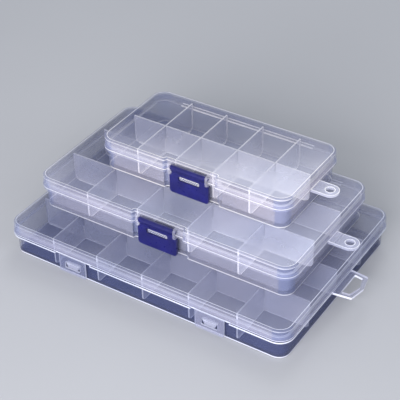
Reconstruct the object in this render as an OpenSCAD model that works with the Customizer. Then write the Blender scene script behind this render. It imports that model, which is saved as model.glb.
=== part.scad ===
// Set of three stacked bead organizers. Each is a clear tray with its own hinged
// lid, divided into small compartments by a grid of crossed plates.
// The frame: +X to the right along the long front, +Y to the back, +Z up.
// The origin is on the table under the middle of the large tray.

/* [Large box] */
// Width over the large lid
large_w = 195; // [170:1:230]
// Depth over the large lid
large_d = 132; // [115:1:160]
// Compartments from left to right
large_cols = 6; // [4:1:8]
// Compartments from front to back
large_rows = 4; // [3:1:5]

/* [Medium box] */
// Width over the medium lid
medium_w = 178; // [150:0.5:185]
// Depth over the medium lid
medium_d = 98; // [85:1:110]
// Compartments from left to right
medium_cols = 5; // [3:1:7]
// Compartments from front to back
medium_rows = 3; // [2:1:4]

/* [Small box] */
// Width over the small lid
small_w = 131; // [110:0.5:145]
// Depth over the small lid
small_d = 67; // [55:1:80]
// Compartments from left to right
small_cols = 5; // [3:1:6]
// Compartments from front to back
small_rows = 2; // [2:1:3]

/* [Stack] */
// Height of one closed box
box_h = 22; // [20:0.5:36]
// Height of the parting line between a tray and its lid
parting_z = 14.5; // [12.5:0.5:16]
// How far the medium box stands to the right of the large one
medium_x = -3; // [-8:0.5:8]
// How far the medium box stands behind the middle of the large one
medium_y = 8; // [-15:0.5:15]
// How far the small box stands to the right of the large one
small_x = 1.5; // [-20:0.5:20]
// How far the small box stands behind the middle of the large one
small_y = 20.5; // [-20:0.5:25]

/* [Walls] */
// Corner radius of every lid, seen from above
corner_r = 9; // [6:0.5:14]
// Lid wall
lid_wall = 1.1; // [0.8:0.1:2]
// Lid top
lid_top = 1.2; // [0.8:0.1:2]
// Tray wall
tray_wall = 1.3; // [0.8:0.1:1.8]
// Tray floor
floor_t = 1.2; // [0.8:0.1:2]
// How far the tray stands back inside the lid's outline
tray_inset = 1.8; // [1.6:0.1:2.5]
// Thickness of the rims that meet at the parting line
rim_t = 1.1; // [0.8:0.1:1.6]
// How far the rims stand out past the lid wall
rim_out = 0.4; // [0.2:0.1:1]
// Height of the locating lip inside the lid
lip_h = 2; // [1:0.25:3]
// Gap between the locating lip and the lid wall
lip_gap = 0.2; // [0.1:0.05:0.4]
// Radius inside the tray, where the floor meets the wall
well_r = 2.5; // [1.5:0.25:4]
// Radius along the outer bottom edge of the tray
base_r = 1; // [0.6:0.1:1.5]
// Radius along the outer top edge of the lid
lid_r = 1.4; // [0.8:0.1:1.8]

/* [Dividers] */
// Thickness of a divider
divider_t = 1; // [0.6:0.1:1.5]
// Gap between the dividers and the closed lid
divider_head_gap = 0.3; // [0.2:0.1:1]
// Gap between a divider and the tray wall
divider_end_gap = 0.1; // [0.05:0.05:0.3]
// Clearance in the slots where two dividers cross
cross_gap = 0.1; // [0.05:0.05:0.3]

/* [Living hinge] */
// Thickness of the web that joins a tray to its lid
web_t = 0.3; // [0.2:0.05:0.5]
// Length left without a web at each end of the back
web_margin = 18; // [12:1:30]
// How far the web reaches in between the rims
web_depth = 1.5; // [0.8:0.1:2]

/* [Snap latch] */
// Width of the latch barrel
latch_w = 24; // [16:0.5:28]
// How far the latch plate is wider than its barrel, on each side
latch_wing = 1.5; // [0.5:0.1:2]
// Thickness of the latch plate
latch_t = 1.5; // [1:0.1:2]
// Radius of the latch barrel
barrel_r = 1.7; // [1.3:0.1:2.2]
// Depth of the barrel's top below the top of the lid
barrel_drop = 1; // [0.6:0.1:2]
// How far the latch plate stands out past the lid wall
latch_out = 0.7; // [0:0.1:1.2]
// Gap between the latch plate and the table below
latch_foot_gap = 1.4; // [0.3:0.1:3]
// Radius of the latch's lower corners
latch_corner_r = 2; // [0.8:0.1:3]
// Width of the slot in the latch
slot_w = 14.4; // [8:0.2:18]
// Height of the slot in the latch
slot_h = 2.8; // [2:0.1:3.6]
// Height of the middle of the slot
slot_z = 12.7; // [9:0.1:12.7]
// Radius of the pins at the ends of the barrel
pin_r = 0.9; // [0.6:0.05:1.2]
// Running clearance around a pin
pin_gap = 0.08; // [0.05:0.01:0.1]
// Thickness of an ear that holds the latch
ear_t = 1.5; // [1:0.1:2.5]
// Gap between the barrel and an ear
ear_gap = 0.25; // [0.15:0.05:0.5]
// Rounding of an ear's front corners
ear_r = 1.8; // [0.8:0.1:2]
// Width of the recess around the latch
bay_w = 34.4; // [32:0.2:40]
// Depth of the recess around the latch
bay_d = 2.8; // [2.4:0.1:4]
// Gap between a closed latch and the catch behind it
catch_gap = 0.3; // [0.2:0.05:0.6]

/* [Flap latches] */
// Width of a flap latch on the large box
flap_w = 19.4; // [12:0.2:24]
// Thickness of a flap latch
flap_t = 1; // [0.8:0.1:1.5]
// Height of a flap's lower edge above the table
flap_foot_z = 1.9; // [0.5:0.1:3]
// Width of the window in a flap
window_w = 11; // [6:0.2:14]
// Height of the window in a flap
window_h = 4.4; // [3:0.2:5]
// Height of the middle of the window
window_z = 7.5; // [5.5:0.1:9]
// Width left free of rim on each side of a flap
rim_notch_gap = 3.2; // [1:0.1:5]

/* [Hang tabs] */
// Radius of the round end of a hang tab
tab_r = 5.6; // [4:0.1:8]
// Distance from the lid wall to the hole of the small tab
small_tab_reach = 10; // [8:0.1:16]
// Distance from the lid wall to the hole of the medium tab
medium_tab_reach = 11.6; // [11:0.1:16]
// Thickness of a hang tab
tab_t = 1.6; // [1:0.1:2.5]
// Radius of the hole in a hang tab
tab_hole_r = 2.75; // [1.5:0.05:3.2]
// Width of the raised ring around the hole
ring_w = 1.1; // [0.6:0.1:1.3]
// Height of the raised ring above the tab
ring_h = 0.5; // [0.3:0.1:1]
// Length of the raised block at the root of the medium tab
root_block = 3.6; // [2:0.1:5]

/* [Hang loop] */
// Half the width of the large box's hang loop at its root
loop_root = 12.2; // [9:0.1:16]
// Half the width of the loop at its shoulders
loop_shoulder = 10.8; // [8:0.1:14]
// Distance from the lid wall to the shoulders
loop_reach = 12; // [10:0.1:20]
// How far the middle of the loop stands out past its shoulders
loop_nose = 2.3; // [0:0.1:4]
// Width of the loop's bars
loop_bar = 2.9; // [2:0.1:3.6]
// Width of the loop's bar along the tray
loop_root_bar = 4; // [3:0.1:6]
// Thickness of the loop
loop_t = 1.4; // [1:0.1:2.5]
// Depth of the loop's top below the tray's rim
loop_drop = 0.5; // [0:0.1:0.8]

/* [Hidden] */
$fn = 48;

clear = [0.83, 0.85, 0.93, 0.45];
clear_lid = [0.88, 0.89, 0.96, 0.4];
clear_plate = [0.92, 0.92, 0.98, 0.6];
blue = [0.15, 0.16, 0.48];

far = 60;                                   // length that surely reaches past a piece
web_gap = 0;                                // the web fills the gap between the rims
parting_gap = web_t + web_gap;
tray_top = parting_z - parting_gap/2;
lid_foot = parting_z + parting_gap/2;
lip_in = lid_wall + lip_gap;                // inset of the lip's outer face
well_in = tray_inset + tray_wall;           // inset of the tray's inner face
divider_top = box_h - lid_top - divider_head_gap;
bay_corner_r = 1.6;                         // rounding where a front wall turns into the recess

latch_axis_z = box_h - barrel_drop - barrel_r;
ear_in = latch_w/2 + ear_gap;
ear_top = box_h - 0.4;
ear_out = latch_out + barrel_r;             // how far an ear stands out past the lid wall
wing_top = lid_foot - 0.6;                  // the wider plate starts below the ears
latch_edge_r = 0.6;
catch_side_gap = 0.4;                       // the catch is this much smaller than the slot

flap_top = lid_foot - web_t;
flap_out = rim_out + 0.2;                   // front face of a flap past the lid wall
flap_edge_r = 1.2;
flap_catch_gap = 0.25;
flap_web_side = 0.5;                        // the web is this much shorter than the flap at each end

tab_top = tray_top;
ring_r = tab_hole_r + ring_w;
tab_rim = 0.9;                              // width of the raised edge along a tab
tab_rim_h = 0.25;
root_block_h = 0.6;                         // height of the root block above the tab

// Place of divider k of a row that parts a length into n compartments, spaced
// evenly between the middles of the lid's walls
function divider_at(k, n, length) = (k - n/2) * (length - lid_wall) / n;

// ---- Outlines and rounded blocks ----

// Rounded rectangle about the origin
module outline(w, d, r) {
    square([w - 2*r, d], center=true);
    square([w, d - 2*r], center=true);
    for (x = [-1, 1], y = [-1, 1])
        translate([x*(w/2 - r), y*(d/2 - r)]) circle(r);
}

// Section of a block with two rounded lower corners
module section(w, e, h) {
    translate([-w/2, e]) square([w, h - e]);
    translate([-w/2 + e, 0]) square([w - 2*e, h]);
    for (s = [-1, 1]) translate([s*(w/2 - e), e]) circle(e);
}

// Half of that section, for the round corners of the block
module half_section(r, e, h) {
    translate([0, e]) square([r, h - e]);
    square([r - e, h]);
    translate([r - e, e]) circle(e);
}

// Block with round vertical corners r and a round lower edge e
module bowl(w, d, r, e, h) {
    rotate([90, 0, 0]) linear_extrude(d - 2*r, center=true) section(w, e, h);
    rotate([90, 0, 90]) linear_extrude(w - 2*r, center=true) section(d, e, h);
    for (q = [0:3]) {
        sx = (q == 0 || q == 3) ? 1 : -1;
        sy = (q < 2) ? 1 : -1;
        translate([sx*(w/2 - r), sy*(d/2 - r), 0]) rotate(q*90)
            rotate_extrude(angle=90) half_section(r, e, h);
    }
}

// The front recess around a snap latch, for a wall that stands inset from the outline
module bay(d, inset) {
    half = bay_w/2 + inset;
    back = -d/2 + bay_d + inset;
    r = max(bay_corner_r - inset, 0);
    translate([-half, -d/2 - far, -far])
        cube([2*half, far + d/2 + back, 3*far]);
    if (r > 0.3 && back > -d/2 + inset + r)
        for (s = [-1, 1])
            translate([s*half, -d/2 + inset, -far]) scale([s, 1, 1])
                linear_extrude(3*far) difference() {
                    translate([-0.1, -r]) square([r + 0.1, 2*r]);
                    translate([r, r]) circle(r);
                }
}

// Plate or block of the box's outline at an inset, with the recess cut away
module slab(w, d, inset, h, has_bay) {
    difference() {
        linear_extrude(h) outline(w - 2*inset, d - 2*inset, corner_r - inset);
        if (has_bay) bay(d, inset);
    }
}

// Rounded block at an inset, with the recess cut away
module block(w, d, inset, e, h, has_bay) {
    difference() {
        bowl(w - 2*inset, d - 2*inset, corner_r - inset, e, h);
        if (has_bay) bay(d, inset);
    }
}

// ---- Trays ----

// Inside of a tray, from its floor up past its rim
module well(w, d, inset, has_bay) {
    translate([0, 0, floor_t]) block(w, d, inset, well_r, box_h, has_bay);
}

// Bar on the tray front that a latch's opening closes over
module catch_bar(x, width, height, z, y_wall, y_front) {
    nose = min(height/2 - 0.1, 0.8);
    translate([x - width/2, 0, 0]) rotate([90, 0, 90]) linear_extrude(width)
        polygon([
            [y_wall + 0.3, z - height/2], [y_front + nose, z - height/2],
            [y_front, z - height/2 + nose], [y_front, z + height/2 - nose/2],
            [y_front + nose/2, z + height/2], [y_wall + 0.3, z + height/2]
        ]);
}

module tray(w, d, has_bay, flap_xs) {
    color(clear) difference() {
        union() {
            block(w, d, tray_inset, base_r, tray_top, has_bay);
            difference() {
                translate([0, 0, tray_top - rim_t]) slab(w, d, -rim_out, rim_t, has_bay);
                for (x = flap_xs)
                    translate([x - flap_w/2 - rim_notch_gap, -d/2 - rim_out - 1, tray_top - rim_t - 1])
                        cube([flap_w + 2*rim_notch_gap, 1 + rim_out + tray_inset, rim_t + 2]);
            }
            translate([0, 0, tray_top - rim_t]) slab(w, d, lip_in, rim_t + lip_h, has_bay);
            if (has_bay)
                catch_bar(0, slot_w - 2*catch_side_gap, slot_h - 2*catch_side_gap, slot_z,
                          -d/2 + bay_d + tray_inset, -d/2 - latch_out + latch_t + catch_gap);
            for (x = flap_xs)
                catch_bar(x, window_w - 2, window_h - 1.6, window_z,
                          -d/2 + tray_inset, -d/2 - flap_out + flap_t + flap_catch_gap);
        }
        well(w, d, well_in, has_bay);
    }
}

// ---- Lids ----

// Ear that carries one end of a latch barrel
module ear(s, d) {
    y_back = -d/2 + bay_d + lid_wall/2;
    y_front = -d/2 - ear_out;
    translate([s*(ear_in + ear_t/2) - ear_t/2, 0, 0]) rotate([90, 0, 90]) linear_extrude(ear_t) {
        translate([y_front + ear_r, lid_foot]) square([y_back - y_front - ear_r, ear_top - lid_foot]);
        translate([y_front, lid_foot + ear_r]) square([ear_r + 0.1, ear_top - lid_foot - 2*ear_r]);
        for (z = [lid_foot + ear_r, ear_top - ear_r]) translate([y_front + ear_r, z]) circle(ear_r);
    }
}

module lid(w, d, has_bay) {
    color(clear_lid) difference() {
        union() {
            difference() {
                union() {
                    translate([0, 0, box_h]) mirror([0, 0, 1])
                        block(w, d, 0, lid_r, box_h - lid_foot, has_bay);
                    translate([0, 0, lid_foot]) slab(w, d, -rim_out, rim_t, has_bay);
                }
                translate([0, 0, box_h - lid_top]) mirror([0, 0, 1])
                    block(w, d, lid_wall, lid_r - 0.6, box_h, has_bay);
            }
            if (has_bay) for (s = [-1, 1]) ear(s, d);
        }
        if (has_bay)
            translate([0, -d/2 - latch_out, latch_axis_z]) rotate([0, 90, 0])
                cylinder(r = pin_r + pin_gap, h = 2*(ear_in + ear_t + 1), center=true);
    }
}

// Thin web of the living hinge, between the two rims at the back
module hinge_web(w, d) {
    color(clear) translate([-w/2 + web_margin, d/2 + rim_out - web_depth, tray_top])
        cube([w - 2*web_margin, web_depth, web_t]);
}

// ---- Dividers ----

// A divider fits inside the tray and follows its rounded floor edges
module plate_space(w, d, has_bay) {
    intersection() {
        well(w, d, well_in + divider_end_gap, has_bay);
        translate([-w/2, -d/2, 0]) cube([w, d, divider_top]);
    }
}

// Runs from left to right, and is slotted from above for the cross dividers
module long_divider(k, w, d, cols, rows, has_bay) {
    color(clear_plate) difference() {
        intersection() {
            plate_space(w, d, has_bay);
            translate([-w/2, divider_at(k, rows, d) - divider_t/2, 0]) cube([w, divider_t, box_h]);
        }
        for (j = [1:cols - 1])
            translate([divider_at(j, cols, w) - divider_t/2 - cross_gap, -d/2, (floor_t + divider_top)/2])
                cube([divider_t + 2*cross_gap, d, box_h]);
    }
}

// Runs from front to back, and is slotted from below for the long dividers
module cross_divider(j, w, d, cols, rows, has_bay) {
    color(clear_plate) difference() {
        intersection() {
            plate_space(w, d, has_bay);
            translate([divider_at(j, cols, w) - divider_t/2, -d/2, 0]) cube([divider_t, d, box_h]);
        }
        for (k = [1:rows - 1])
            translate([-w/2, divider_at(k, rows, d) - divider_t/2 - cross_gap, -1])
                cube([w, divider_t + 2*cross_gap, 1 + (floor_t + divider_top)/2 + cross_gap]);
    }
}

// ---- Latches ----

// Plate with round corners, standing in the XZ plane
module upright_plate(x0, x1, z0, z1, r_low, r_high) {
    translate([x0 + r_low, z0]) square([x1 - x0 - 2*r_low, z1 - z0]);
    translate([x0, z0 + r_low]) square([x1 - x0, z1 - z0 - r_low - r_high]);
    for (x = [x0 + r_low, x1 - r_low]) translate([x, z0 + r_low]) circle(r_low);
    for (x = [x0 + r_high, x1 - r_high]) translate([x, z1 - r_high]) circle(r_high);
}

// Opening with round ends
module round_slot(width, height, z) {
    translate([-width/2 + height/2, z - height/2]) square([width - height, height]);
    for (s = [-1, 1]) translate([s*(width - height)/2, z]) circle(height/2);
}

// Snap latch: barrel with an end pin in each ear, and a slotted plate below it
module latch(d) {
    y_front = -d/2 - latch_out;
    color(blue) {
        difference() {
            translate([0, y_front + latch_t, 0]) rotate([90, 0, 0]) linear_extrude(latch_t) {
                translate([-latch_w/2, wing_top - latch_edge_r - 1])
                    square([latch_w, latch_axis_z - wing_top + latch_edge_r + 1]);
                upright_plate(-latch_w/2 - latch_wing, latch_w/2 + latch_wing,
                              latch_foot_gap, wing_top, latch_corner_r, latch_edge_r);
            }
            translate([0, y_front + latch_t + 1, 0]) rotate([90, 0, 0])
                linear_extrude(latch_t + 2) round_slot(slot_w, slot_h, slot_z);
        }
        translate([0, y_front, latch_axis_z]) rotate([0, 90, 0]) {
            cylinder(r = barrel_r, h = latch_w, center=true);
            cylinder(r = pin_r, h = latch_w + 2*(ear_gap + ear_t - 0.2), center=true);
        }
    }
}

// Flap latch, hung from the lid rim on a thin web and closing over its catch
module flap_latch(x, d) {
    y_front = -d/2 - flap_out;
    color(clear_lid) translate([x, 0, 0]) {
        difference() {
            translate([0, y_front + flap_t, 0]) rotate([90, 0, 0]) linear_extrude(flap_t)
                upright_plate(-flap_w/2, flap_w/2, flap_foot_z, flap_top, flap_edge_r, 0.3);
            translate([0, y_front + flap_t + 1, window_z - window_h/2]) rotate([90, 0, 0])
                linear_extrude(flap_t + 2) upright_plate(-window_w/2, window_w/2, 0, window_h, 0.6, 0.6);
        }
    }
}

// Thin web that joins a flap latch to the lid rim
module flap_web(x, d) {
    color(clear_lid) translate([x - flap_w/2 + flap_web_side, -d/2 - flap_out, flap_top])
        cube([flap_w - 2*flap_web_side, flap_t*0.6, web_t]);
}

// ---- Hang tabs ----

// Flat tab with a ringed hole, on the right of a tray
module hang_tab(w, reach, block_length) {
    root = w/2 + rim_out;
    hole = w/2 + reach;
    color(clear) difference() {
        union() {
            translate([root, -tab_r, tab_top - tab_t]) cube([hole - root, 2*tab_r, tab_t]);
            translate([hole, 0, tab_top - tab_t]) cylinder(r = tab_r, h = tab_t);
            difference() {
                union() {
                    translate([root, -tab_r, tab_top - tab_t]) cube([hole - root, 2*tab_r, tab_t + tab_rim_h]);
                    translate([hole, 0, tab_top - tab_t]) cylinder(r = tab_r, h = tab_t + tab_rim_h);
                }
                translate([root - 1, -tab_r + tab_rim, tab_top])
                    cube([hole - root + 1, 2*(tab_r - tab_rim), tab_t]);
                translate([hole, 0, tab_top]) cylinder(r = tab_r - tab_rim, h = tab_t);
            }
            translate([hole, 0, tab_top - tab_t]) cylinder(r = ring_r, h = tab_t + ring_h);
            if (block_length > 0)
                translate([root, -tab_r, tab_top - tab_t]) cube([block_length, 2*tab_r, tab_t + root_block_h]);
        }
        translate([hole, 0, tab_top - tab_t - 1]) cylinder(r = tab_hole_r, h = tab_t + ring_h + 2);
    }
}

// Five-sided loop on the right of the large tray
module hang_loop(w) {
    root = w/2 + rim_out;
    shoulder = w/2 + loop_reach;
    nose = shoulder + loop_nose;
    slope = (loop_root - loop_shoulder) / (shoulder - root);
    color(clear) translate([0, 0, tray_top - loop_drop - loop_t]) linear_extrude(loop_t) difference() {
        polygon([
            [root, -loop_root], [shoulder, -loop_shoulder], [nose, 0],
            [shoulder, loop_shoulder], [root, loop_root]
        ]);
        inner = root + loop_root_bar;
        inner_half = loop_root - slope*loop_root_bar - loop_bar;
        outer = shoulder - loop_bar*0.8;
        outer_half = loop_shoulder + slope*loop_bar - loop_bar;
        polygon([
            [inner, -inner_half], [outer, -outer_half], [nose - loop_bar*0.8, 0],
            [outer, outer_half], [inner, inner_half]
        ]);
    }
}

// ---- The three boxes ----

flap_offset = divider_at(2, large_cols, large_w)/2 + divider_at(1, large_cols, large_w)/2;
flap_xs = [flap_offset, -flap_offset];

module at_medium() translate([medium_x, medium_y, box_h]) children();
module at_small() translate([small_x, small_y, 2*box_h]) children();

module large_tray() tray(large_w, large_d, false, flap_xs);
module large_lid() lid(large_w, large_d, false);
module medium_tray() at_medium() tray(medium_w, medium_d, true, []);
module medium_lid() at_medium() lid(medium_w, medium_d, true);
module small_tray() at_small() tray(small_w, small_d, true, []);
module small_lid() at_small() lid(small_w, small_d, true);

large_tray();
large_lid();
hinge_web(large_w, large_d);  // large_hinge_web
for (k = [1:large_rows - 1])
    long_divider(k, large_w, large_d, large_cols, large_rows, false);
for (j = [1:large_cols - 1])
    cross_divider(j, large_w, large_d, large_cols, large_rows, false);
flap_latch(flap_xs[0], large_d);  // large_flap_latch_left
flap_latch(flap_xs[1], large_d);  // large_flap_latch_right
flap_web(flap_xs[0], large_d);  // large_flap_web_left
flap_web(flap_xs[1], large_d);  // large_flap_web_right
hang_loop(large_w);  // large_hang_loop

medium_tray();
medium_lid();
at_medium() hinge_web(medium_w, medium_d);  // medium_hinge_web
for (k = [1:medium_rows - 1])
    at_medium() long_divider(k, medium_w, medium_d, medium_cols, medium_rows, true);
for (j = [1:medium_cols - 1])
    at_medium() cross_divider(j, medium_w, medium_d, medium_cols, medium_rows, true);
at_medium() latch(medium_d);  // medium_latch
at_medium() hang_tab(medium_w, medium_tab_reach, root_block);  // medium_hang_tab

small_tray();
small_lid();
at_small() hinge_web(small_w, small_d);  // small_hinge_web
for (k = [1:small_rows - 1])
    at_small() long_divider(k, small_w, small_d, small_cols, small_rows, true);
for (j = [1:small_cols - 1])
    at_small() cross_divider(j, small_w, small_d, small_cols, small_rows, true);
at_small() latch(small_d);  // small_latch
at_small() hang_tab(small_w, small_tab_reach, 0);  // small_hang_tab
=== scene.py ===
"""Stack of three clear bead organizers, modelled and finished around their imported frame."""

import math

import bmesh
import bpy
from mathutils import Matrix, Vector


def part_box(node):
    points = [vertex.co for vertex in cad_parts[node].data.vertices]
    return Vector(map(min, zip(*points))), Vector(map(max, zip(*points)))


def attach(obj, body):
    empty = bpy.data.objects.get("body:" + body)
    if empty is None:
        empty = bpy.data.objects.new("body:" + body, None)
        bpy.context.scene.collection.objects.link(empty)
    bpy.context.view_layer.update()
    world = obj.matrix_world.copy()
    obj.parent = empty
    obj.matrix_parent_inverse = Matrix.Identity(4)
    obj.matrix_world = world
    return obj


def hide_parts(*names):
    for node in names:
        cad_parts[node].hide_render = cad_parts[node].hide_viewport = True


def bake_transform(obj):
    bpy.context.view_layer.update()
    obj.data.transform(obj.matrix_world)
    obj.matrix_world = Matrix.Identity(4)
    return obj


bl_info = {
    "name": "Bead Organizer Stack",
    "version": (1, 0, 0),
    "blender": (4, 5, 0),
    "location": "View3D > Sidebar > Organizers",
    "description": "Clear divided boxes with hinged lids, snap latches and hang tabs",
    "category": "Add Mesh",
}

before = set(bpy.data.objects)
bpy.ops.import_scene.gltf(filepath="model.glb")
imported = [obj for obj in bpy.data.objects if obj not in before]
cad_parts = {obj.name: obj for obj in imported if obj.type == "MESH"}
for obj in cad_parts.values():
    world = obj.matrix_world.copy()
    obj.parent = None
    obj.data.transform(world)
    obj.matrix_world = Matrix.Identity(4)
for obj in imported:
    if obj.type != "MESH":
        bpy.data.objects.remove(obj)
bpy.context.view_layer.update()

BOX_NAMES = ("large", "medium", "small")  # from the foot of the stack
LATCHED_BOXES = ("medium", "small")  # have a snap latch in a recess, and a ringed tab

MM = 0.001
# Lengths from here on are in millimetres
RIM_OUT = 0.4  # how far every rim stands out past the lid wall
PARTING = 14.5  # height of the parting line above the foot of a box
PLAY = 0.05  # small gap that keeps two surfaces from lying in one plane
RECESS_HALF, RECESS_DEPTH = 17.2, 2.1  # half the width, and the depth, of a latch's recess
FLAP_GAP_HALF = 12.9  # half the length of rim that a flap interrupts
EAR_INSIDE, EAR_OUTSIDE = 12.25, 13.75  # faces of an ear, from the middle of the latch
BARREL_RADIUS, PIN_RADIUS, BORE_RADIUS = 1.7, 0.9, 0.98  # of a snap latch and its ears
FOOT_RADIUS = 0.7  # under the trays
TOP_RADIUS = 1.4  # round the top of the lids
# Half widths at the top and at the foot, then heights of the foot and the top
LATCH_CATCH = (6.7, 6.7, 11.5, 13.85)
FLAP_CATCH = (5.0, 3.4, 5.9, 9.0)


# ---- Settings ----


def length(name, description, default, least, most):
    """A length that a user may change, given in millimetres"""
    return bpy.props.FloatProperty(
        name=name, description=description, subtype="DISTANCE", unit="LENGTH", precision=5,
        default=default * MM, min=least * MM, max=most * MM,
    )


def colour(name, description, default):
    """A colour that a user may change"""
    return bpy.props.FloatVectorProperty(
        name=name, description=description, subtype="COLOR", size=3, min=0, max=1, default=default
    )


class OrganizerSizes(bpy.types.PropertyGroup):
    """Lengths that the boxes share"""

    corner_radius: length("Corner radius", "Radius of a lid's corners in plan", 9.0, 5.0, 14.0)
    lid_wall: length("Lid wall", "Thickness of the lid's skirt", 1.1, 0.6, 2.0)
    tray_wall: length("Tray wall", "Thickness of the tray's wall", 1.3, 0.6, 2.0)
    tray_inset: length("Tray inset", "How far the tray stands back under the rim", 1.8, 1.4, 2.5)
    draft: length("Draft", "How far each side of the tray leans in at its foot", 0.2, 0.0, 1.5)
    floor: length("Floor", "Thickness of the tray's floor", 1.2, 0.8, 2.0)
    well_radius: length("Well radius", "Radius between floor and wall, inside", 2.5, 1.0, 4.0)
    divider: length("Divider", "Thickness of a divider plate", 1.0, 0.5, 1.5)


class OrganizerColours(bpy.types.PropertyGroup):
    """Colours of the clear mouldings, the latches and the stage. The clear plastic comes in lit and
    shaded copies: painted light on walls and dividers, painted highlights on edges, painted shade
    on corners and depths
    """

    panel: colour("Panels", "Lid tops, flaps and tabs", (0.61, 0.63, 0.81))
    # Painted light: the walls are a lighter copy of the panel plastic, as if lit from the front
    wall: colour("Walls", "Skirts and tray walls", (0.73, 0.73, 0.86))
    # Painted shade: a darker, bluer copy of the wall plastic where the walls turn a corner
    bend: colour("Corners", "Walls where they turn a corner", (0.48, 0.53, 0.78))
    # Painted light: the divider faces are a lighter copy of the panel plastic
    plate: colour("Dividers", "Faces of the divider plates", (0.81, 0.83, 0.97))
    # Painted highlights: near-white lines on rims, beads and cut edges
    edge: colour("Edges", "Rims, beads and cut edges that gather the light", (0.93, 0.94, 1.0))
    # Painted shade: the dark blue that far ends, the large tray's inner walls and the tray floors
    # fade into
    deep: colour("Depths", "Plastic that gathers little light", (0.036, 0.062, 0.21))
    latch: colour("Latch", "Snap latches", (0.009, 0.009, 0.098))
    stage: colour("Floor", "Floor of the stage", (0.44, 0.45, 0.48))
    # Painted shade: each larger box, lower in the stack, is painted darker and a little bluer
    shade_step: bpy.props.FloatProperty(
        name="Shade step", description="How much darker and bluer each larger box is",
        subtype="FACTOR", default=0.13, min=0, max=0.3,
    )


def mm(name):
    """One of the shared lengths, in millimetres"""
    return getattr(bpy.context.scene.organizer_sizes, name) / MM


def colours():
    """The colours of the mouldings, the latches and the stage"""
    return bpy.context.scene.organizer_colours


class Box:
    """One box of the stack, with its outline and dividers read from the frame"""

    def __init__(self, name):
        low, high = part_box(name + "_tray")
        self.name = name
        self.x = (low.x + high.x) / 2 / MM
        self.y = (low.y + high.y) / 2 / MM
        self.z = low.z / MM
        self.w = (high.x - low.x) / MM - 2 * RIM_OUT
        self.d = (high.y - low.y) / MM - 2 * RIM_OUT
        self.top = (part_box(name + "_lid")[1].z - low.z) / MM
        self.recessed = name in LATCHED_BOXES
        self.barrel = -self.d / 2 - 0.7, self.top - 2.7  # (y, z) of the snap latch's axis
        self.well_radius = mm("well_radius") * (1 if self.recessed else 0.4)
        self.cross = self.divider_places("_cross_divider_", "x")
        self.long = self.divider_places("_long_divider_", "y")
        self.plate_top = (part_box(name + "_cross_divider_1")[1].z - low.z) / MM

    def divider_places(self, word, axis):
        """Names of this box's dividers of one kind, with their places across the box"""
        found = {}
        for node in sorted(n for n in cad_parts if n.startswith(self.name + word)):
            low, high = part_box(node)
            middle = (getattr(low, axis) + getattr(high, axis)) / 2 / MM
            found[node] = middle - getattr(self, axis)
        return found

    def flap_places(self):
        """Middles of the flap latches, across the front"""
        places = []
        for side in ("left", "right"):
            node = f"{self.name}_flap_latch_{side}"
            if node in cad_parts:
                low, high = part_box(node)
                places.append((low.x + high.x) / 2 / MM - self.x)
        return places

    def point(self, x, y, z):
        """A place in the scene, in metres, from a place measured from the middle of the foot"""
        return (x + self.x) * MM, (y + self.y) * MM, (z + self.z) * MM


# ---- Finishes ----


def node_tree(name):
    """New material with an empty node tree, and a function that adds nodes to it"""
    material = bpy.data.materials.new(name)
    material.use_nodes = True
    tree = material.node_tree
    tree.nodes.clear()

    def add(kind, **values):
        node = tree.nodes.new(kind)
        for key, value in values.items():
            if key in node.inputs:
                node.inputs[key].default_value = value
            else:
                setattr(node, key, value)
        return node

    return material, tree.links.new, add


def ramp(link, add, value, start, end, low, high, kind="LINEAR"):
    """Maps a value between start and end onto the range from low to high"""
    spread = add("ShaderNodeMapRange", interpolation_type=kind)
    spread.inputs["From Min"].default_value = start
    spread.inputs["From Max"].default_value = end
    spread.inputs["To Min"].default_value = low
    spread.inputs["To Max"].default_value = high
    link(value, spread.inputs["Value"])
    return spread.outputs["Result"]


def cloudy(link, add, coordinates, scale, low, high, detail=3.0):
    """Soft cloud pattern at one scale, spread between two values"""
    noise = add("ShaderNodeTexNoise", Scale=scale, Detail=detail, Roughness=0.55)
    link(coordinates, noise.inputs["Vector"])
    return ramp(link, add, noise.outputs["Fac"], 0.3, 0.7, low, high)


def mottled(link, add, place, scale, colour, dark, light):
    """One colour that drifts in soft clouds between a darker and a lighter shade"""
    tint = add("ShaderNodeMix", data_type="RGBA")
    tint.inputs["A"].default_value = (*[c * dark for c in colour], 1)
    tint.inputs["B"].default_value = (*[c * light for c in colour], 1)
    link(cloudy(link, add, place, scale, 0, 1), tint.inputs["Factor"])
    return tint.outputs["Result"]


def painted_light_towards_front(link, add, place, box):
    """Painted light: runs from 0 at a box's back left, painted in shade, to 1 at its front right,
    painted as lit
    """
    slope = Vector((0.8 / box.w, -1 / box.d, 0)) / MM
    along = add("ShaderNodeVectorMath", operation="DOT_PRODUCT")
    along.inputs[1].default_value = slope
    link(place, along.inputs[0])
    middle = slope.dot(Vector(box.point(0, 0, 0)))
    return ramp(link, add, along.outputs["Value"], middle - 0.6, middle + 0.7, 0, 1, "SMOOTHSTEP")


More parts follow.
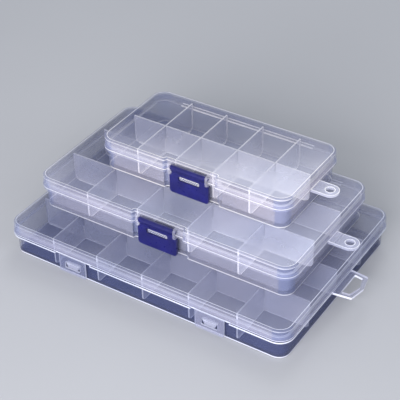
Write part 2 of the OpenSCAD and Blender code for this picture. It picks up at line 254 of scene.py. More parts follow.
def milky_plastic_with_painted_light(name, box, colour, far_colour, opacity, painted_light_gain, roughness, flow):
    """Clear moulded plastic: a little milky, with faint cloudy flow marks and a soft gloss, and
    painted light that runs from a painted shade colour at the back left to the lit colour at the
    front right.
    Its opacity also grows towards the front by a given share, more painted light, and flow is how
    its marks stretch."""
    material, link, add = node_tree(name)
    place = add("ShaderNodeTexCoord").outputs["Object"]
    stretch = add("ShaderNodeMapping")
    stretch.inputs["Scale"].default_value = flow
    link(place, stretch.inputs["Vector"])
    flowing = stretch.outputs["Vector"]

    shader = add("ShaderNodeBsdfPrincipled", IOR=1.49)
    # Painted shade at the back left (far colour) blends into painted light at the front right (near
    # colour), broken up by random cloudy tone
    tint = add("ShaderNodeMix", data_type="RGBA")
    tint.inputs["A"].default_value = (*far_colour, 1)
    tint.inputs["B"].default_value = (*[min(c * 1.06, 1) for c in colour], 1)
    painted_light_and_mottle = add("ShaderNodeMath", operation="MULTIPLY")
    along = painted_light_towards_front(link, add, place, box)
    link(along, painted_light_and_mottle.inputs[0])
    link(cloudy(link, add, flowing, 45, 0.8, 1), painted_light_and_mottle.inputs[1])
    link(painted_light_and_mottle.outputs["Value"], tint.inputs["Factor"])
    warm = add("ShaderNodeMix", data_type="RGBA", blend_type="MULTIPLY")
    warm.inputs["B"].default_value = (1.04, 0.99, 0.95, 1)
    link(cloudy(link, add, flowing, 28, 0, 1, 1), warm.inputs["Factor"])
    link(tint.outputs["Result"], warm.inputs["A"])
    link(warm.outputs["Result"], shader.inputs["Base Color"])
    # Opacity grows towards the front as well: more painted light there
    cover = add("ShaderNodeMath", operation="MULTIPLY", use_clamp=True)
    link(cloudy(link, add, flowing, 30, opacity * 0.88, opacity * 1.12, 1), cover.inputs[0])
    link(ramp(link, add, along, 0, 1, 1 - painted_light_gain, 1 + painted_light_gain), cover.inputs[1])
    link(cover.outputs["Value"], shader.inputs["Alpha"])
    gloss = cloudy(link, add, place, 90, roughness * 0.8, roughness * 1.25)
    link(gloss, shader.inputs["Roughness"])

    bump = add("ShaderNodeBump", Strength=0.05, Distance=0.0002)
    link(cloudy(link, add, place, 110, 0, 1, 1), bump.inputs["Height"])
    link(bump.outputs["Normal"], shader.inputs["Normal"])
    link(shader.outputs["BSDF"], add("ShaderNodeOutputMaterial").inputs["Surface"])
    return material


def latch_plastic(name, colour):
    """Glossy deep blue plastic with a faint moulded grain"""
    material, link, add = node_tree(name)
    place = add("ShaderNodeTexCoord").outputs["Object"]
    shader = add("ShaderNodeBsdfPrincipled", IOR=1.5)
    link(mottled(link, add, place, 130, colour, 0.8, 1.3), shader.inputs["Base Color"])
    link(cloudy(link, add, place, 700, 0.26, 0.36), shader.inputs["Roughness"])
    bump = add("ShaderNodeBump", Strength=0.15, Distance=0.0001)
    link(cloudy(link, add, place, 2600, 0, 1, 2), bump.inputs["Height"])
    link(bump.outputs["Normal"], shader.inputs["Normal"])
    link(shader.outputs["BSDF"], add("ShaderNodeOutputMaterial").inputs["Surface"])
    return material


def stage_paint(name, colour):
    """Plain pale floor"""
    material, link, add = node_tree(name)
    place = add("ShaderNodeTexCoord").outputs["Object"]
    shader = add("ShaderNodeBsdfPrincipled", Roughness=0.85)
    link(mottled(link, add, place, 4, colour, 0.985, 1.015), shader.inputs["Base Color"])
    link(shader.outputs["BSDF"], add("ShaderNodeOutputMaterial").inputs["Surface"])
    return material


def finish_named(word, box):
    """The finish of one kind of surface on one box, made the first time it is asked for"""
    name = f"{box.name}_{word}" if word != "latch" else "latch_plastic"
    if name in bpy.data.materials:
        return bpy.data.materials[name]
    tints = colours()
    if word == "latch":
        return latch_plastic(name, tints.latch)
    # Painted shade: each lower box of the stack is darker and a little bluer
    steps = len(BOX_NAMES) - 1 - BOX_NAMES.index(box.name)
    shade = [1 - tints.shade_step * steps * share for share in (1.15, 1.0, 0.6)]
    # dusk is a painted shade colour, for the tray floors and the large tray's inner walls
    dusk = [0.12 * w + 0.8 * d for w, d in zip(tints.wall, tints.deep)]
    # Painted light on the lid panels of the two upper boxes, painted shade on those of the large
    # box
    strength, panel_painted_light_gain = (1.25, 0.45) if box.recessed else (0.7, 0.35)
    panel = [min(v * strength, 0.94) for v in tints.panel]
    lying, standing, even = (1.0, 0.6, 1.0), (0.5, 0.5, 1.6), (1.0, 1.0, 1.0)
    # Near colour, share of the painted shade tint (deep) at the far end, opacity, growth of opacity
    # towards the front (painted light), roughness and flow
    near, depth, opacity, painted_light_gain, roughness, flow = {
        # panel is the plain plastic; wall and plate are lit copies with painted light, the corner
        # walls and deep carry painted shade, base the painted shade of the floors, bead and edge
        # painted highlights
        "panel": (panel, 0.97, 0.24, panel_painted_light_gain, 0.3, lying),
        "deep": (dusk, 0.5, 0.24, 0, 0.3, lying),
        "base": (dusk, 0.6, 0.62, -0.1, 0.3, lying),
        "wall": (tints.wall, 0.8, 0.27, -0.3, 0.3, standing),
        "bend": (tints.bend, 0.8, 0.27, -0.3, 0.3, standing),
        "plate": (tints.plate, 0.45, 0.38, 0.1, 0.3, (1.0, 1.0, 1.4)),
        "bead": (tints.edge, 0.3, 0.42, 0, 0.25, even),
        "edge": (tints.edge, 0.05, 0.78, 0, 0.25, even),
    }[word]
    # Each finish fades from its near colour to painted shade at the far end
    far = [n * (1 - depth) + d * depth for n, d in zip(near, tints.deep)]
    near, far = ([v * s for v, s in zip(ends, shade)] for ends in (near, far))
    return milky_plastic_with_painted_light(name, box, near, far, opacity, painted_light_gain, roughness, flow)


# ---- Solids ----


def turn(cx, cy, r, start, end, steps):
    """Points on an arc, with angles in degrees"""
    angles = [math.radians(start + (end - start) * k / steps) for k in range(steps + 1)]
    return [(cx + r * math.cos(a), cy + r * math.sin(a)) for a in angles]


def circle(cx, cy, r, steps):
    """Points round a circle, the first of them not repeated"""
    return turn(cx, cy, r, 0, 360 - 360 / steps, steps - 1)


def outline(box, inset, rim=False):
    """Points round a box at one inset, anticlockwise from the middle of its front.
    There are as many at every inset. A rim is cut back where the flaps hang."""
    w, d, r = box.w / 2, box.d / 2, mm("corner_radius")
    points = []
    if box.recessed:
        half, front = RECESS_HALF + inset, -d + inset
        back = front + RECESS_DEPTH
        entry = max(1.7 - inset, 0.15)  # radius where the recess begins
        root = min(1.0 + max(inset, 0), RECESS_DEPTH - entry - PLAY)  # radius at its back
        points += turn(half - root, back - root, root, 90, 0, 5)
        points += turn(half + entry, front + entry, entry, 180, 270, 5)
    for x in sorted(box.flap_places()):
        cut = max(inset, 1.2) if rim else inset
        # The two points of a step lie 0.04 mm apart, so that no ring crosses itself
        for side, way in ((x - FLAP_GAP_HALF, -1), (x + FLAP_GAP_HALF, 1)):
            steps = [(side + way * 0.02, -d + inset), (side - way * 0.02, -d + cut)]
            points += steps if way < 0 else steps[::-1]
    points += turn(w - r, r - d, r - inset, -90, 0, 10)
    points += turn(w - r, d - r, r - inset, 0, 90, 10)
    points += turn(r - w, d - r, r - inset, 90, 180, 10)
    points += turn(r - w, r - d, r - inset, 180, 270, 10)
    if box.recessed:
        points += turn(-half - entry, front + entry, entry, 270, 360, 5)
        points += turn(-half + root, back - root, root, 180, 90, 5)
    return points


def rim_edges(bm, axis):
    """Edges between the flat faces of a plate and its sides"""
    rims = []
    for edge in bm.edges:
        if len(edge.link_faces) == 2:
            along = sorted(abs(f.normal.dot(axis)) for f in edge.link_faces)
            if along[0] < 0.1 and along[1] > 0.9:
                rims.append(edge)
    return rims


class Solid:
    """Gathers closed shells for a piece of one box, each face with the word of its finish"""

    def __init__(self, box):
        self.box = box
        self.points, self.faces, self.words, self.smooth = [], [], [], []

    def add(self, points, faces, words, smooth):
        """Takes in one shell"""
        start = len(self.points)
        self.points += points
        self.faces += [[start + i for i in face] for face in faces]
        self.words += words
        self.smooth += smooth

    def sweep(self, profile, cut_rim=False):
        """Closed shell round the box, from its section (inset, height, finish of the next face)"""
        # Only the rim stands out so far that a flap interrupts it
        rings = [outline(self.box, inset, cut_rim and inset < 0.9) for inset, _, _ in profile]
        n = len(rings[0])
        heights = [z for _, z, _ in profile]
        points = [self.box.point(x, y, z) for ring, z in zip(rings, heights) for x, y in ring]
        faces = [list(range(n))[::-1]]
        words, smooth = [profile[-1][2]], [False]
        for k in range(len(profile) - 1):
            for j in range(n):
                i = (j + 1) % n
                faces.append([k * n + j, k * n + i, (k + 1) * n + i, (k + 1) * n + j])
                (x0, y0), (x1, y1) = rings[k][j], rings[k][i]
                turning = abs(x1 - x0) > 0.02 and abs(y1 - y0) > 0.02
                # Wall faces that turn a corner take the painted shade of the corners
                words.append("bend" if turning and profile[k][2] == "wall" else profile[k][2])
                smooth.append(True)
        faces.append(list(range((len(profile) - 1) * n, len(profile) * n)))
        words.append(profile[-1][2])
        smooth.append(False)
        self.add(points, faces, words, smooth)

    def along(self, axis, start, end):
        """Place function that lays an outline across one axis and runs depth t along it"""

        def place(a, b, t):
            level = start + (end - start) * t
            return self.box.point(
                *{"x": (level, a, b), "y": (a, level, b), "z": (a, b, level)}[axis]
            )

        return place

    def extrude(self, loops, place, face_word, side_word, rounding=0.0):
        """Plate with holes: place(a, b, t) gives the point of an outline's (a, b) at depth t"""
        bm = bmesh.new()
        edges = []
        for loop in loops:
            verts = [bm.verts.new(place(a, b, 0)) for a, b in loop]
            edges += [bm.edges.new((v, verts[(i + 1) % len(verts)])) for i, v in enumerate(verts)]
        filled = bmesh.ops.triangle_fill(bm, edges=edges, use_beauty=True)
        plate = [g for g in filled["geom"] if isinstance(g, bmesh.types.BMFace)]
        out = bmesh.ops.extrude_face_region(bm, geom=plate)
        shift = Vector(place(0, 0, 1)) - Vector(place(0, 0, 0))
        moved = [g for g in out["geom"] if isinstance(g, bmesh.types.BMVert)]
        bmesh.ops.translate(bm, vec=shift, verts=moved)
        bmesh.ops.recalc_face_normals(bm, faces=bm.faces)
        axis = shift.normalized()
        if rounding:
            bm.normal_update()
            bmesh.ops.bevel(
                bm, geom=rim_edges(bm, axis), offset=rounding * MM, segments=2, affect="EDGES",
                clamp_overlap=True,
            )
        bm.normal_update()
        bm.verts.index_update()
        flat = [abs(f.normal.dot(axis)) > 0.95 for f in bm.faces]
        self.add(
            [tuple(v.co) for v in bm.verts],
            [[v.index for v in f.verts] for f in bm.faces],
            [face_word if level else side_word for level in flat],
            [not level for level in flat],
        )
        bm.free()

    def bar(self, section, x0, x1, word, rounding=0.0):
        """Bar along the box's front, from its section (y, z)"""
        self.extrude([section], self.along("x", x0, x1), word, word, rounding)

    def piece(self, name, sharp=35):
        """Makes the object, with one material slot for each finish that it shows"""
        mesh = bpy.data.meshes.new(name)
        mesh.from_pydata(self.points, [], self.faces)
        kinds = sorted(set(self.words))
        for word in kinds:
            mesh.materials.append(finish_named(word, self.box))
        mesh.polygons.foreach_set("material_index", [kinds.index(w) for w in self.words])
        mesh.polygons.foreach_set("use_smooth", self.smooth)
        mesh.set_sharp_from_angle(angle=math.radians(sharp))
        mesh.update()
        piece = bpy.data.objects.new(name, mesh)
        bpy.context.scene.collection.objects.link(piece)
        return piece


def rounded(points, radius, steps=4):
    """The same polygon with its corners rounded"""
    result = []
    for i, corner in enumerate(points):
        c = Vector(corner)
        before, after = Vector(points[i - 1]) - c, Vector(points[(i + 1) % len(points)]) - c
        half = before.angle(after) / 2
        most = 0.48 * min(before.length, after.length)
        reach = min(radius / math.tan(half), most)
        start, end = c + before.normalized() * reach, c + after.normalized() * reach
        for k in range(steps + 1):
            t = k / steps
            result.append(tuple(start * (1 - t) ** 2 + c * 2 * t * (1 - t) + end * t * t))
    return result


def upright(x0, x1, z0, z1, low_r, high_r):
    """Outline of a plate that stands in the XZ plane, with rounded corners"""
    return (
        turn(x0 + low_r, z0 + low_r, low_r, 180, 270, 6)
        + turn(x1 - low_r, z0 + low_r, low_r, 270, 360, 6)
        + turn(x1 - high_r, z1 - high_r, high_r, 0, 90, 6)
        + turn(x0 + high_r, z1 - high_r, high_r, 90, 180, 6)
    )


def seat(piece, body, slot, *nodes):
    """Sets a finished piece on its body, in place of its CAD nodes"""
    if nodes:
        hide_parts(*nodes)
    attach(piece, body)
    return piece


def row_of(name, template, first, step, count, flat, edge):
    """Repeats a mesh in a straight row with Geometry Nodes, and makes the row a plain mesh"""
    tree = bpy.data.node_groups.new(name + "_row", "GeometryNodeTree")
    tree.is_modifier = True
    socket, sockets = tree.interface.new_socket, {}
    for label, kind in (
        ("Geometry", "Geometry"), ("Count", "Int"), ("First", "Vector"), ("Step", "Vector"),
        ("Flat finish", "Material"), ("Edge finish", "Material"),
    ):
        sockets[label] = socket(label, in_out="INPUT", socket_type="NodeSocket" + kind)
    socket("Geometry", in_out="OUTPUT", socket_type="NodeSocketGeometry")
    nodes, link = tree.nodes, tree.links.new
    given, result = nodes.new("NodeGroupInput"), nodes.new("NodeGroupOutput")
    line = nodes.new("GeometryNodeMeshLine")
    link(given.outputs["Count"], line.inputs["Count"])
    link(given.outputs["First"], line.inputs["Start Location"])
    link(given.outputs["Step"], line.inputs["Offset"])
    copies = nodes.new("GeometryNodeInstanceOnPoints")
    link(line.outputs["Mesh"], copies.inputs["Points"])
    link(given.outputs["Geometry"], copies.inputs["Instance"])
    real = nodes.new("GeometryNodeRealizeInstances")
    link(copies.outputs["Instances"], real.inputs["Geometry"])
    flats = nodes.new("GeometryNodeSetMaterial")
    link(real.outputs["Geometry"], flats.inputs["Geometry"])
    link(given.outputs["Flat finish"], flats.inputs["Material"])
    named = nodes.new("GeometryNodeInputNamedAttribute")
    named.data_type = "BOOLEAN"
    named.inputs["Name"].default_value = "cut_edge"
    edges = nodes.new("GeometryNodeSetMaterial")
    link(flats.outputs["Geometry"], edges.inputs["Geometry"])
    link(named.outputs["Attribute"], edges.inputs["Selection"])
    link(given.outputs["Edge finish"], edges.inputs["Material"])
    link(edges.outputs["Geometry"], result.inputs["Geometry"])

    mesh = template.data
    cut = [mesh.materials[p.material_index] == edge for p in mesh.polygons]
    mesh.attributes.new("cut_edge", "BOOLEAN", "FACE").data.foreach_set("value", cut)
    modifier = template.modifiers.new("row", "NODES")
    modifier.node_group = tree
    for label, value in (
        ("Count", count), ("First", first), ("Step", step),
        ("Flat finish", flat), ("Edge finish", edge),
    ):
        modifier[sockets[label].identifier] = value
    bpy.context.view_layer.update()
    evaluated = template.evaluated_get(bpy.context.evaluated_depsgraph_get())
    row = bpy.data.objects.new(name, bpy.data.meshes.new_from_object(evaluated))
    row.data.name = name
    bpy.context.scene.collection.objects.link(row)
    template.modifiers.remove(modifier)
    bpy.data.objects.remove(template)
    return row


# ---- Trays and lids ----


def tray_profile(box):
    """Section of a tray, from under its floor out, up, over the lip and down to its floor"""
    inset, wall, radius = mm("tray_inset"), mm("tray_wall"), box.well_radius
    foot, lip = inset + mm("draft"), mm("lid_wall") + 0.2
    if box.recessed:
        # Upper boxes: a painted highlight (bead) on the foot line
        side, foot_line, rim, groove = "wall", "bead", "wall", "wall"
        low, high = PARTING - 1.25, PARTING - 0.15
        under = 0.08  # clear of the lid that the box stands on
    else:
        # The large tray: painted shade (deep) on its inner walls, painted highlights (edge) on its
        # foot line and rim
        side, foot_line, rim, groove = "deep", "edge", "edge", "panel"
        low, high = PARTING - 1.7, PARTING - 0.75
        under = 0.0
    out = RIM_OUT - 0.04  # leaves room for the lid's rim when the lid is turned right back
    points = []
    # The foot's rounding carries painted highlight lines (bead, edge) and the foot line
    for k, word in enumerate(("base", "bead", "edge", "edge", foot_line)):
        a = k * math.pi / 8
        inward, up = FOOT_RADIUS * (1 - math.sin(a)), FOOT_RADIUS * (1 - math.cos(a))
        points.append((foot + inward, under + up, word))
    points.append((foot - 0.01, 1.25, side))
    points += [
        (inset + 0.05, low - 0.25, "wall"),  # out under the rim
        (inset - 0.2, low, "wall"),
        (-out + 0.2, low, rim),  # up its face
        (-out, low + 0.2, rim),
        (-out, high - 0.2, rim),
        (-out + 0.2, high, groove),  # in to the lip
        (lip - 0.25, high, groove),
        (lip, PARTING + 0.1, "wall"),  # up and over the lip
        # The top of the lip carries a painted highlight (bead)
        (lip, PARTING + 1.6, "bead"),
        (lip + 0.2, PARTING + 1.85, "bead"),
        (inset + wall - 0.2, PARTING + 1.85, "bead"),
        (inset + wall, PARTING + 1.65, side),  # down the inside
    ]
    # The floor (base) takes the painted shade of the floors
    for k in range(6):
        a = math.radians(18 * k)
        inward, up = radius * (1 - math.cos(a)), radius * (1 - math.sin(a))
        points.append((foot + wall + inward, mm("floor") + up, side if k < 3 else "base"))
    return points


def lid_profile(box):
    """Section of a lid, from under its top out, down the skirt, round the rim and up to its top"""
    wall, top, foot = mm("lid_wall"), box.top, PARTING + 0.15
    inside, thickness = 0.8, 1.2  # radius under the top's edge, and the top's thickness
    points = []
    for k in range(4):
        a = k * math.pi / 6
        inward, down = inside * (1 - math.sin(a)), inside * (1 - math.cos(a))
        points.append((wall + 0.1 + inward, top - thickness - down, "panel"))
    points += [
        (wall, top - 2.2, "wall"),  # down the inside of the skirt
        (wall, foot + 0.4, "wall"),
        (wall - 0.25, foot, "wall"),  # out under the rim
        # The rim carries painted highlights (bead, edge)
        (-RIM_OUT + 0.2, foot, "bead"),
        (-RIM_OUT, foot + 0.2, "edge"),  # up its face
        (-RIM_OUT, foot + 0.55, "wall"),
        (-RIM_OUT + 0.1, foot + 0.9, "wall"),  # back to the skirt
        (-0.05, foot + 1.6, "wall"),
        (0.0, top - TOP_RADIUS, "wall"),  # the top's rounded edge
    ]
    # Two painted highlight lines on the top's rounded edge, at its first and last faces
    for k in range(1, 7):
        a = math.radians(15 * k)
        inward, down = TOP_RADIUS * (1 - math.cos(a)), TOP_RADIUS * (1 - math.sin(a))
        points.append((inward, top - down, {1: "bead", 6: "edge"}.get(k, "wall")))
    points.append((TOP_RADIUS + 0.35, top, "panel"))
    return points


def add_ears(solid):
    """Ears on both sides of the latch, each with a bore for the barrel's pin"""
    box = solid.box
    back, front = -box.d / 2 + 3.3, -box.d / 2 - 2.4
    low, high, low_r, high_r = PARTING + 0.15, box.top - 0.4, 0.7, 1.8
    ear = (
        [(back, low)]
        + turn(front + low_r, low + low_r, low_r, 270, 180, 6)
        + turn(front + high_r, high - high_r, high_r, 180, 90, 6)
        + [(back, high)]
    )
    bore = circle(*box.barrel, BORE_RADIUS, 16)
    for side in (-1, 1):
        place = solid.along("x", side * EAR_INSIDE, side * EAR_OUTSIDE)
        solid.extrude([ear, bore], place, "wall", "wall", 0.2)


def add_catch(solid, x, shape, front, back):
    """Catch bar on the tray's front, with painted highlights on its bevelled edges"""
    top, foot, low, high = shape
    face = [(x - foot, low), (x + foot, low), (x + top, high), (x - top, high)]
    solid.extrude([face], solid.along("y", front, back), "wall", "edge", 0.3)


class ORGANIZER_OT_trays(bpy.types.Operator):
    """Makes the three trays, with their walls, rims, locating lips and catches"""

    bl_idname = "organizer.trays"
    bl_label = "Trays"

    def execute(self, context):
        for name in BOX_NAMES:
            box = Box(name)
            solid = Solid(box)
            solid.sweep(tray_profile(box), cut_rim=True)
            front = -box.d / 2
            if box.recessed:
                add_catch(solid, 0, LATCH_CATCH, front - 0.5, front + RECESS_DEPTH + 2.2)
                self.add_ridges(box, front - 0.5)
            for x in box.flap_places():
                add_catch(solid, x, FLAP_CATCH, front - 0.35, front + 2.4)
            seat(solid.piece(name + "_tray_moulding"), name + "_box", "clear_tray", name + "_tray")
        return {"FINISHED"}

    def add_ridges(self, box, front):
        """Slanting ridges across the face of the catch that shows through the latch's slot, in the
        dark floor finish as painted shade
        """
        solid = Solid(box)
        ridge = [(-1.0, 11.9), (-0.4, 11.9), (0.9, 13.4), (0.3, 13.4)]
        solid.extrude([ridge], solid.along("y", front - 0.18, front + 0.22), "base", "base")
        template, finish = solid.piece(box.name + "_ridge"), finish_named("base", box)
        count, pitch = 9, 1.4 * MM
        first, step = (-pitch * (count - 1) / 2, 0, 0), (pitch, 0, 0)
        row = row_of(box.name + "_catch_ridges", template, first, step, count, finish, finish)
        seat(row, box.name + "_box", "clear_tray")


class ORGANIZER_OT_lids(bpy.types.Operator):
    """Makes the three lids, with rounded top edges, rims and the latch ears"""

    bl_idname = "organizer.lids"
    bl_label = "Lids"

    def execute(self, context):
        for name in BOX_NAMES:
            box = Box(name)
            solid = Solid(box)
            solid.sweep(lid_profile(box))
            if box.recessed:
                add_ears(solid)
            seat(solid.piece(name + "_lid_moulding"), name + "_lid", "clear_lid", name + "_lid")
        return {"FINISHED"}


# ---- Dividers ----


def plate_outline(box, half, recess):
    """Outline of a divider from one upper corner, down round its foot and up to the other"""
    top_inset = mm("tray_inset") + mm("tray_wall") + 0.1
    foot_inset, r, floor = top_inset + mm("draft"), box.well_radius, mm("floor") + PLAY
    low, high = -half + recess, half
    return (
        [(low + top_inset, box.plate_top)]
        + turn(low + foot_inset + r, floor + r, r, 180, 270, 5)
        + turn(high - foot_inset - r, floor + r, r, 270, 360, 5)
        + [(high - top_inset, box.plate_top)]
    )


def notched(points, places, from_above, box):
    """Adds the half-lap slots of the crossing plates to a divider's outline"""
    half, floor, top = mm("divider") / 2 + 0.1, mm("floor") + PLAY, box.plate_top
    middle = (mm("floor") + top) / 2
    slots = []
    if from_above:
        for p in sorted(places, reverse=True):
            slots += [(p + half, top), (p + half, middle), (p - half, middle), (p - half, top)]
        return points + slots
    for p in sorted(places):
        slots += [(p - half, floor), (p - half, middle), (p + half, middle), (p + half, floor)]
    cut = len(points) // 2
    return points[:cut] + slots + points[cut:]


class ORGANIZER_OT_dividers(bpy.types.Operator):
    """Makes the crossed divider plates of every box, in rows, with half-lap slots"""

    bl_idname = "organizer.dividers"
    bl_label = "Dividers"

    def execute(self, context):
        for name in BOX_NAMES:
            box = Box(name)
            reach = RECESS_HALF + mm("tray_inset") + mm("tray_wall")
            groups = {}
            for node, x in box.cross.items():
                short = box.recessed and abs(x) < reach
                groups.setdefault("middle" if short else "outer", {})[node] = x
            for word, members in groups.items():
                recess = RECESS_DEPTH if word == "middle" else 0
                solid = self.slotted_plate(box, box.d / 2, recess, box.long.values(), "x")
                self.make_row(f"{name}_cross_plates_{word}", solid, members, 0)
            solid = self.slotted_plate(box, box.w / 2, 0, box.cross.values(), "y")
            self.make_row(name + "_long_plates", solid, box.long, 1)
        return {"FINISHED"}

    def slotted_plate(self, box, half, recess, crossing, across):
        """One plate with its slots and painted highlights on its cut edges, and a painted highlight
        strip on both sides along its foot
        """
        solid = Solid(box)
        points = plate_outline(box, half, recess)
        shape = notched(points, crossing, across == "y", box)
        plate, strips = mm("divider") / 2, mm("divider") / 2 + 0.25
        solid.extrude([shape], solid.along(across, -plate, plate), "plate", "edge", 0.25)
        foot = [a for a, z in points if z < mm("floor") + PLAY + 0.01]
        clear = 0.8  # between a strip's end and the middle of the crossing plate
        stops = [min(foot) + 0.1 - clear, *sorted(crossing), max(foot) - 0.1 + clear]
        low, high = mm("floor") + 0.03, mm("floor") + 0.4
        for start, end in zip(stops, stops[1:]):
            x0, x1 = start + clear, end - clear
            strip = [(x0, low), (x1, low), (x1, high), (x0, high)]
            solid.extrude([strip], solid.along(across, -strips, strips), "edge", "edge")
        return solid

    def make_row(self, name, solid, members, axis):
        """Repeats one plate at the places of the CAD dividers that the row stands for"""
        places = sorted(members.values())
        first, step = [0.0, 0.0, 0.0], [0.0, 0.0, 0.0]
        first[axis] = places[0] * MM
        if len(places) > 1:
            step[axis] = (places[1] - places[0]) * MM
        flat, edge = finish_named("plate", solid.box), finish_named("edge", solid.box)
        row = row_of(name, solid.piece(name + "_plate"), first, step, len(places), flat, edge)
        seat(row, solid.box.name + "_box", "clear_divider", *members)


# ---- Hinges ----


class ORGANIZER_OT_hinges(bpy.types.Operator):
    """Makes the living hinges: the thin film, and two light ribs inside each back"""

    bl_idname = "organizer.hinges"
    bl_label = "Living hinges"

    def execute(self, context):
        for name in BOX_NAMES:
            box = Box(name)
            low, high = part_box(name + "_hinge_web")
            x0, x1 = low.x / MM - box.x, high.x / MM - box.x
            back = box.d / 2 + RIM_OUT
            tray = box.d / 2 - mm("tray_inset") - mm("tray_wall")
            skirt = box.d / 2 - mm("lid_wall")
            for part, slot, y0, y1, z0, z1 in (
                ("box", "clear_tray", tray - 0.05, tray + 0.4, PARTING + 1.1, PARTING + 1.9),
                ("lid", "clear_lid", skirt - 0.1, skirt + 0.4, PARTING + 2.0, PARTING + 2.5),
            ):
                rib = Solid(box)
                section = rounded([(y0, z0), (y1, z0), (y1, z1), (y0, z1)], 0.12, 3)
                # The ribs take painted highlights (edge)
                rib.bar(section, x0, x1, "edge")
                seat(rib.piece(f"{name}_hinge_rib_{part}"), f"{name}_{part}", slot)
            film = Solid(box)
            levels = [PARTING - 0.15 + 0.05 * k for k in range(7)]
            section = [(back - 0.95, z) for z in levels] + [(back - 0.65, z) for z in levels[::-1]]
            # The film takes a painted highlight (bead)
            film.bar(section, x0, x1, "bead")
            piece = film.piece(name + "_hinge_film")
            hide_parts(name + "_hinge_web")
            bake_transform(piece)
        return {"FINISHED"}


# ---- Latches ----


def barrel_section(box):
    """Outline (y, z) of the latch barrel, flowing down into the face of the plate"""
    (y, z), r, drop = box.barrel, BARREL_RADIUS, 3.7
    points = turn(y, z, r, 0, 180, 18)
    for k in range(1, 9):
        t = k / 8
        points.append((y - r * (1 - t * t * (3 - 2 * t)), z - drop * t))
    return points + [(y + 1.45, z - drop), (y + 1.45, z - 1.2)]


class ORGANIZER_OT_snap_latches(bpy.types.Operator):
    """Makes the blue snap latches: a barrel with end pins above a slotted plate with wings"""

    bl_idname = "organizer.snap_latches"
    bl_label = "Snap latches"

    def execute(self, context):
        for name in LATCHED_BOXES:
            box = Box(name)
            solid = Solid(box)
            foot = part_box(name + "_latch")[0].z / MM - box.z
            front, neck, wing = box.barrel[0], box.top - 3.2, PARTING - 0.45
            half = 12.0  # of the width between the ears, and 0.9 more at the wings
            right = turn(half - 0.4, foot + 2, 2, 270, 360, 6)
            right += turn(half + 0.9, wing - 0.7, 0.7, 0, 90, 5)
            right += [(half + 0.4, wing), (half, wing + 0.4), (half, neck)]
            plate = right + [(-x, z) for x, z in right[::-1]]
            slot = upright(-7.35, 7.35, 11.15, 14.25, 0.9, 0.9)
            place = solid.along("y", front, front + 1.5)
            solid.extrude([plate, slot], place, "latch", "latch", 0.35)
            solid.bar(barrel_section(box), -half, half, "latch", 0.4)
            pin = circle(*box.barrel, PIN_RADIUS, 24)
            for side in (-1, 1):
                solid.bar(pin, side * (half - 0.1), side * (half + 1.55), "latch", 0.15)
            piece = solid.piece(name + "_snap_latch", 40)
            seat(piece, name + "_latch", "blue_latch", name + "_latch")
        return {"FINISHED"}


class ORGANIZER_OT_flap_latches(bpy.types.Operator):
    """Makes the windowed flaps on the front of the large box"""

    bl_idname = "organizer.flap_latches"
    bl_label = "Flap latches"

    def execute(self, context):
        box = Box("large")
        for side in ("left", "right"):
            node = "large_flap_latch_" + side
            low, high = (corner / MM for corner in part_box(node))
            middle, half = (low.x + high.x) / 2, (high.x - low.x) / 2
            solid = Solid(box)
            flap = upright(middle - half, middle + half, low.z, high.z, 1.2, 0.4)
            window = upright(middle - 5.5, middle + 5.5, 5.3, 9.7, 0.6, 0.6)
            place = solid.along("y", low.y, high.y)
            # Painted highlights (edge) on the flap's cut edges
            solid.extrude([flap, window], place, "panel", "edge", 0.2)
            seat(solid.piece("large_front_flap_" + side), "large_flap_" + side, "clear_lid", node)
            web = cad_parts["large_flap_web_" + side]
            # The web takes a painted highlight (bead)
            web.material_slots[0].material = finish_named("bead", box)
        return {"FINISHED"}


# ---- Hang tabs ----


def tab_outline(root, hole, r):
    """Outline of a hang tab with a round end"""
    return [(root, -r)] + turn(hole, 0, r, -90, 90, 20) + [(root, r)]


def add_slab(solid, loops, z0, z1, face_word, side_word, rounding=0.0):
    """Flat plate between two heights, from outlines in plan"""
    solid.extrude(loops, solid.along("z", z0, z1), face_word, side_word, rounding)


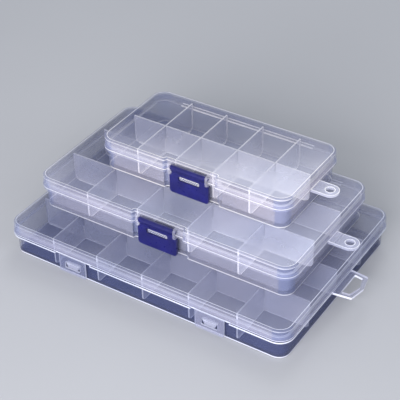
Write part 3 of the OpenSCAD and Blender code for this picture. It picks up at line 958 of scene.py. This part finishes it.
class ORGANIZER_OT_hang_tabs(bpy.types.Operator):
    """Makes the ringed hang tabs of the two upper boxes and the five-sided loop of the large one"""

    bl_idname = "organizer.hang_tabs"
    bl_label = "Hang tabs"

    def execute(self, context):
        for name in LATCHED_BOXES:
            self.add_tab(Box(name), name + "_hang_tab")
        self.add_loop(Box("large"), "large_hang_loop")
        return {"FINISHED"}

    def add_tab(self, box, node):
        """Round-ended tab with a raised rim, and a raised ring round its hole"""
        low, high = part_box(node)
        r = (high.y - low.y) / 2 / MM
        root, hole = low.x / MM - box.x - 0.2, high.x / MM - box.x - r
        z0 = low.z / MM - box.z
        z1 = z0 + 1.6
        solid = Solid(box)
        edge, bore = tab_outline(root, hole, r), circle(hole, 0, 2.75, 24)
        add_slab(solid, [edge, bore], z0, z1, "panel", "panel", 0.2)
        # The ring round the hole carries a painted highlight (edge)
        add_slab(solid, [circle(hole, 0, 3.2, 24), bore], z1 - 0.3, z1 + 0.4, "edge", "panel")
        rim = tab_outline(root + 0.35, hole, r - 0.35)
        # The raised rim carries a painted highlight (edge)
        add_slab(solid, [edge, rim], z1 - 0.1, z1 + 0.2, "edge", "panel")
        if box.name == "medium":
            x, y = root + 3.6, r - 0.1
            block = rounded([(root, -y), (x, -y), (x, y), (root, y)], 0.4)
            # The block's sides carry a painted highlight (bead)
            add_slab(solid, [block], z1 - 0.1, z1 + 0.6, "wall", "bead", 0.15)
        seat(solid.piece(box.name + "_side_tab"), box.name + "_box", "clear_tray", node)

    def add_loop(self, box, node):
        """Five-sided loop, with a band as wide at its shoulders as at its nose"""
        low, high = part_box(node)
        root, nose, wide = low.x / MM - 0.2, high.x / MM, high.y / MM
        band = 2.3
        x = nose - band
        outer = [(root, -wide), (x, -10.8), (nose, 0), (x, 10.8), (root, wide)]
        inner = [(root + 4.2, -8.9), (x - band, -8.2), (x, 0), (x - band, 8.2), (root + 4.2, 8.9)]
        solid = Solid(box)
        loops = [rounded(outer, 0.9), rounded(inner, 0.7)]
        # The loop's cut edges carry painted highlights (edge)
        add_slab(solid, loops, low.z / MM, high.z / MM, "panel", "edge", 0.25)
        seat(solid.piece("large_side_loop"), "large_box", "clear_tray", node)


# ---- Stage ----


def add_lamp(name, place, size, power, tint):
    """Soft square lamp that looks at the middle of the stack"""
    light = bpy.data.lights.new(name, "AREA")
    light.shape = "SQUARE"
    light.size, light.energy, light.color = size, power, tint
    lamp = bpy.data.objects.new(name, light)
    lamp.location = place
    lamp.rotation_euler = (Vector((0, 0, 0.03)) - Vector(place)).to_track_quat("-Z", "Y").to_euler()
    bpy.context.scene.collection.objects.link(lamp)


def add_camera():
    """Camera at the photograph's angle, found by fitting the outlines of the three lids"""
    azimuth, elevation, roll = math.radians(33.17), math.radians(36.13), math.radians(-1.0)
    distance, aside, lift = 0.7583, 0.0002, -0.0280
    reach = math.cos(elevation)
    back = Vector((math.sin(azimuth) * reach, -math.cos(azimuth) * reach, math.sin(elevation)))
    level = Vector((math.cos(azimuth), math.sin(azimuth), 0))
    right = level * math.cos(roll) + back.cross(level) * math.sin(roll)
    up = back.cross(right)
    data = bpy.data.cameras.new("photo_camera")
    data.sensor_width = 36
    data.lens = 109.5
    camera = bpy.data.objects.new("photo_camera", data)
    camera.rotation_euler = Matrix((right, up, back)).transposed().to_euler()
    camera.location = back * distance - right * aside - up * lift
    bpy.context.scene.collection.objects.link(camera)
    bpy.context.scene.camera = camera


class ORGANIZER_OT_stage(bpy.types.Operator):
    """Sets up the pale floor, the soft lamps and the camera"""

    bl_idname = "organizer.stage"
    bl_label = "Stage"

    def execute(self, context):
        scene = bpy.context.scene
        scene.view_settings.view_transform = "Standard"
        scene.cycles.transparent_max_bounces = 64  # the light crosses many clear walls
        mesh = bpy.data.meshes.new("stage_floor")
        half, z = 3, -0.0002  # just under the large tray
        corners = [(-half, -half, z), (half, -half, z), (half, half, z), (-half, half, z)]
        mesh.from_pydata(corners, [], [(0, 1, 2, 3)])
        mesh.materials.append(stage_paint("stage_paint", colours().stage))
        floor = bpy.data.objects.new("stage_floor", mesh)
        scene.collection.objects.link(floor)

        world = bpy.data.worlds.new("studio")
        world.use_nodes = True
        sky = world.node_tree.nodes["Background"]
        sky.inputs["Color"].default_value = (0.90, 0.94, 1.0, 1)
        sky.inputs["Strength"].default_value = 0.45
        scene.world = world
        add_lamp("front_lamp", (0.20, -1.02, 0.40), 0.7, 19, (1.0, 0.98, 0.98))
        add_lamp("right_lamp", (0.95, -0.10, 0.60), 0.6, 2.5, (0.94, 0.96, 1.0))
        add_lamp("back_lamp", (-0.3, 0.8, 0.9), 0.6, 4, (0.95, 0.97, 1.0))
        add_camera()
        return {"FINISHED"}


# ---- Panel and run ----


class ORGANIZER_PT_panel(bpy.types.Panel):
    """Lists the pieces of the stack in the sidebar"""

    bl_idname = "ORGANIZER_PT_panel"
    bl_label = "Bead Organizers"
    bl_space_type = "VIEW_3D"
    bl_region_type = "UI"
    bl_category = "Organizers"

    def draw(self, context):
        layout = self.layout
        for group in (context.scene.organizer_sizes, context.scene.organizer_colours):
            column = layout.column(align=True)
            for prop in group.bl_rna.properties:
                if prop.identifier not in {"rna_type", "name"}:
                    column.prop(group, prop.identifier)
        for operator in OPERATORS:
            layout.operator(operator.bl_idname)


OPERATORS = (
    ORGANIZER_OT_stage,
    ORGANIZER_OT_trays,
    ORGANIZER_OT_lids,
    ORGANIZER_OT_dividers,
    ORGANIZER_OT_hinges,
    ORGANIZER_OT_snap_latches,
    ORGANIZER_OT_flap_latches,
    ORGANIZER_OT_hang_tabs,
)
CLASSES = (OrganizerSizes, OrganizerColours, *OPERATORS, ORGANIZER_PT_panel)


def register():
    """Makes the classes and the settings known to Blender"""
    for cls in CLASSES:
        bpy.utils.register_class(cls)
    bpy.types.Scene.organizer_sizes = bpy.props.PointerProperty(type=OrganizerSizes)
    bpy.types.Scene.organizer_colours = bpy.props.PointerProperty(type=OrganizerColours)


def unregister():
    """Takes them away again"""
    del bpy.types.Scene.organizer_colours
    del bpy.types.Scene.organizer_sizes
    for cls in reversed(CLASSES):
        bpy.utils.unregister_class(cls)


def main():
    """Makes every piece in order"""
    register()
    bpy.ops.organizer.stage()
    bpy.ops.organizer.trays()
    bpy.ops.organizer.lids()
    bpy.ops.organizer.dividers()
    bpy.ops.organizer.hinges()
    bpy.ops.organizer.snap_latches()
    bpy.ops.organizer.flap_latches()
    bpy.ops.organizer.hang_tabs()


if __name__ == "__main__":
    main()
